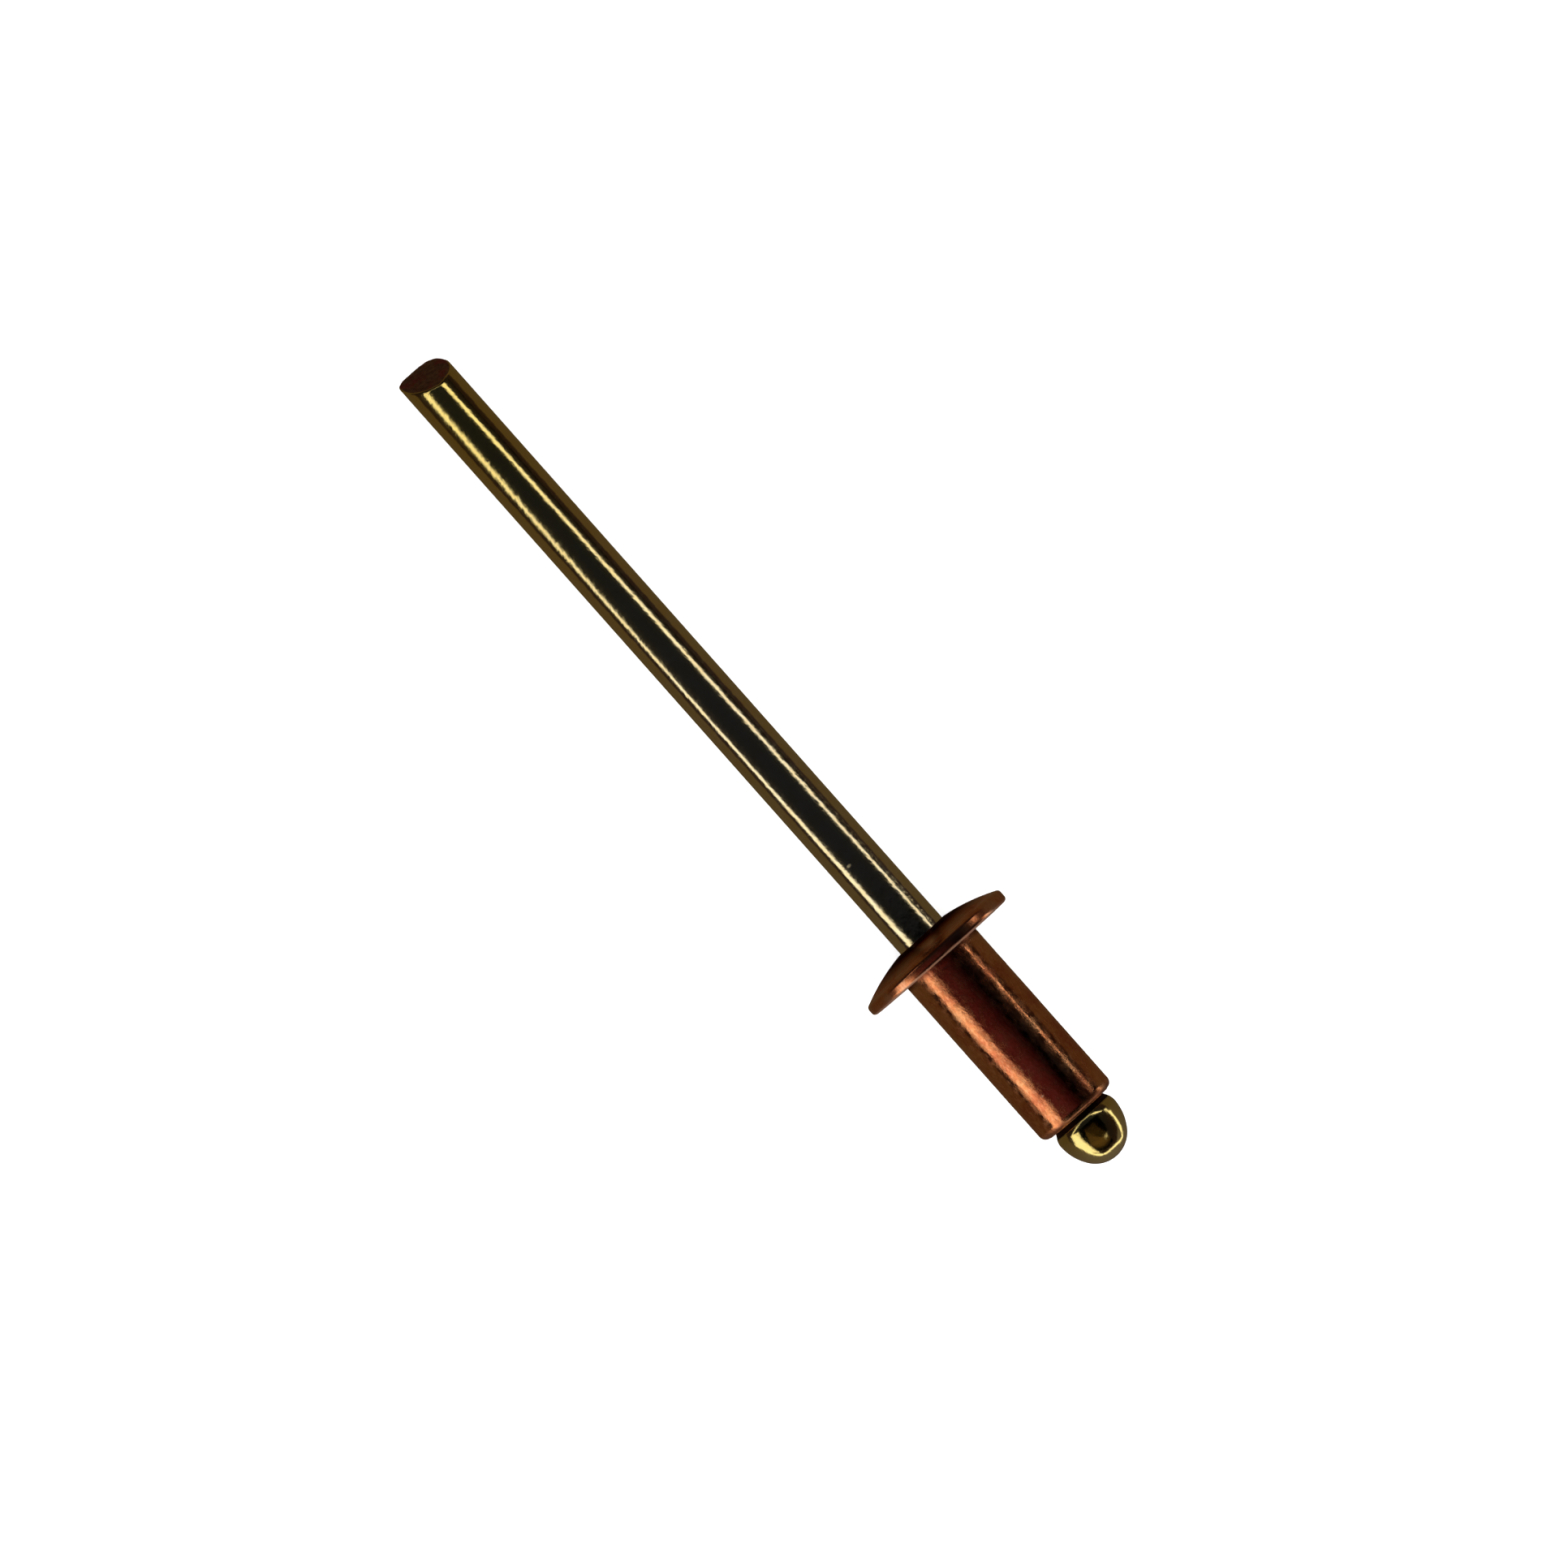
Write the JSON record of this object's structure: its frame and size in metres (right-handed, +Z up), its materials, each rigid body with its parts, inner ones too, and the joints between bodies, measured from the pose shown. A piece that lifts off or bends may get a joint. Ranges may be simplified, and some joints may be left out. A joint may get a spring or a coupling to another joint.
{
  "type": "blind rivet",
  "caption": "Unset open-end blind rivet: a copper shell with a domed flange and a straight shank, on a polished brass-coloured mandrel with a ball-like head and a sheared tail.",
  "frame": {"origin": "on the rivet's axis, in the plane of the flange's bearing face, which rests on the sheet", "axes": "+X along the axis, from the mandrel's sheared tail through the flange to the mandrel's head on the blind side; +Z up, with the rivet lying on its side; the tail's main shear face looks up"},
  "size_m": [0.0371, 0.0062, 0.0062],
  "materials": {
    "copper_shell": "satin drawn copper",
    "mandrel_wire": "polished drawn wire"
  },
  "bodies": {
    "body": {"rivet_body": "copper_shell"},
    "mandrel": {"mandrel": "mandrel_wire"}
  },
  "joints": [
    {"name": "mandrel_slide", "type": "slide", "parent": "body", "child": "mandrel", "axis": [1, 0, 0], "range_m": [0, 0.035]}
  ]
}
